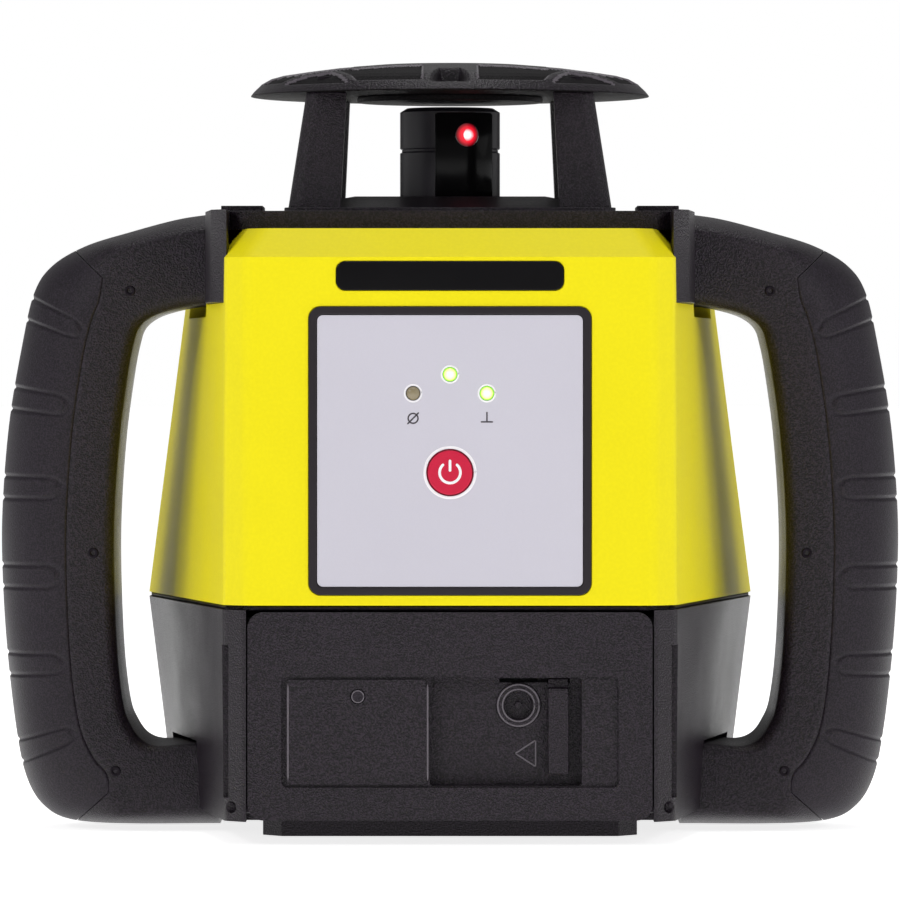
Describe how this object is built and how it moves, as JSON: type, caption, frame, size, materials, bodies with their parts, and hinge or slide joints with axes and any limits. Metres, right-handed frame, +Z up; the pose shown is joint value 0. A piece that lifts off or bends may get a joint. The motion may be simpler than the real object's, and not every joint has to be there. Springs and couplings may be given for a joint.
{
  "type": "rotating laser level",
  "caption": "Self-levelling rotating laser level: yellow and black casing with side handles, keypad, battery door, and a spinning laser head under a domed crown on posts.",
  "frame": {"origin": "spin axis of the laser head, at the mouth of the tripod thread in the base", "axes": "+Z up along the spin axis, the keypad faces -Y, +X to the right seen from the front"},
  "size_m": [0.239, 0.1868, 0.2028],
  "materials": {
    "yellow_abs": "fine moulded satin",
    "black_plastic": "fine grain",
    "black_rubber": "matt",
    "gloss_black": "gloss",
    "brass": "machined",
    "steel": "zinc plated",
    "aluminium": "anodised",
    "copper_winding": "enamelled wire",
    "magnet": "sintered",
    "nylon": "moulded",
    "circuit_board": "solder mask",
    "cell_wrap": "printed sleeve",
    "overlay_grey": "printed film",
    "lamp_green": "lit lens",
    "lamp_clear": "unlit lens",
    "button_red": "printed rubber",
    "dark_glass": "polished",
    "lens_red": "coated lens",
    "prism_glass": "polished"
  },
  "bodies": {
    "housing": {"base_plate": "black_plastic", "tripod_insert": "brass", "base_screws": "steel", "lower_housing": "black_plastic", "housing_seal": "black_rubber", "upper_housing": "yellow_abs", "top_cover": "black_plastic", "cover_screws": "steel", "crown_posts": "black_plastic", "crown_cap": "black_plastic", "crown_liner": "gloss_black", "crown_pads": "black_rubber", "sight_blocks": "gloss_black", "crown_screws": "steel", "handle_left_front": "black_plastic", "handle_left_rear": "black_plastic", "handle_right_front": "black_plastic", "handle_right_rear": "black_plastic", "grip_left": "black_rubber", "grip_right": "black_rubber", "handle_screws": "steel", "nameplate": "black_plastic", "keypad_frame": "black_plastic", "keypad_overlay": "overlay_grey", "level_lamps": "lamp_green", "warning_lamp": "lamp_clear", "keypad_board": "circuit_board", "main_board": "circuit_board", "battery_tray": "black_plastic", "battery_cells": "cell_wrap", "contact_springs": "steel", "chassis_plate": "aluminium", "chassis_pins": "steel", "standoffs": "aluminium", "motor_plate": "aluminium", "level_motors": "steel", "hinge_pin": "steel"},
    "gimbal": {"gimbal_ring": "aluminium", "ring_arm": "aluminium"},
    "laser_unit": {"barrel": "aluminium", "barrel_pins": "steel", "unit_arm": "aluminium", "motor_stator": "copper_winding", "shaft_bearings": "steel", "laser_module": "aluminium"},
    "rotor": {"rotor_shaft": "aluminium", "rotor_magnet": "magnet", "rotor_head": "black_plastic", "rotor_window": "dark_glass", "aperture_lens": "lens_red", "pentaprism": "prism_glass"},
    "plunger_x": {"level_plunger_x": "nylon"},
    "plunger_y": {"level_plunger_y": "nylon"},
    "screw_x": {"level_screw_x": "steel"},
    "screw_y": {"level_screw_y": "steel"},
    "door": {"battery_door": "black_plastic", "charge_socket": "gloss_black", "door_plug": "gloss_black"},
    "latch": {"latch_slider": "black_plastic"},
    "button": {"power_button": "button_red"}
  },
  "joints": [
    {"name": "tilt_x", "type": "hinge", "parent": "housing", "child": "gimbal", "pos_m": [0, 0, 0.14], "axis": [1, 0, 0], "range_deg": [-5, 5]},
    {"name": "tilt_y", "type": "hinge", "parent": "gimbal", "child": "laser_unit", "pos_m": [0, 0, 0.14], "axis": [0, 1, 0], "range_deg": [-5, 5]},
    {"name": "rotor_spin", "type": "hinge", "parent": "laser_unit", "child": "rotor", "pos_m": [0, 0, 0.14], "axis": [0, 0, 1], "continuous": true},
    {"name": "plunger_x_lift", "type": "slide", "parent": "housing", "child": "plunger_x", "axis": [0, 0, 1], "range_m": [-0.0044, 0.0044]},
    {"name": "plunger_y_lift", "type": "slide", "parent": "housing", "child": "plunger_y", "axis": [0, 0, 1], "range_m": [-0.0044, 0.0044]},
    {"name": "screw_x_spin", "type": "hinge", "parent": "housing", "child": "screw_x", "pos_m": [0.05, 0, 0.1], "axis": [0, 0, 1], "range_deg": [-1260, 1260]},
    {"name": "screw_y_spin", "type": "hinge", "parent": "housing", "child": "screw_y", "pos_m": [0, 0.05, 0.1], "axis": [0, 0, 1], "range_deg": [-1260, 1260]},
    {"name": "door_hinge", "type": "hinge", "parent": "housing", "child": "door", "pos_m": [0, -0.0858, 0.0096], "axis": [1, 0, 0], "range_deg": [0, 90]},
    {"name": "latch_slide", "type": "slide", "parent": "door", "child": "latch", "axis": [-1, 0, 0], "range_m": [0, 0.012]},
    {"name": "button_press", "type": "slide", "parent": "housing", "child": "button", "axis": [0, 1, 0], "range_m": [0, 0.0008], "stiffness_N_per_m": 1500, "springref_m": -0.0004}
  ],
  "couplings": [
    {"joint": "plunger_y_lift", "follows": "tilt_x", "m_per_rad": 0.05},
    {"joint": "plunger_x_lift", "follows": "tilt_y", "m_per_rad": -0.05},
    {"joint": "screw_y_spin", "follows": "tilt_x", "ratio": -251.33},
    {"joint": "screw_x_spin", "follows": "tilt_y", "ratio": 251.33}
  ]
}
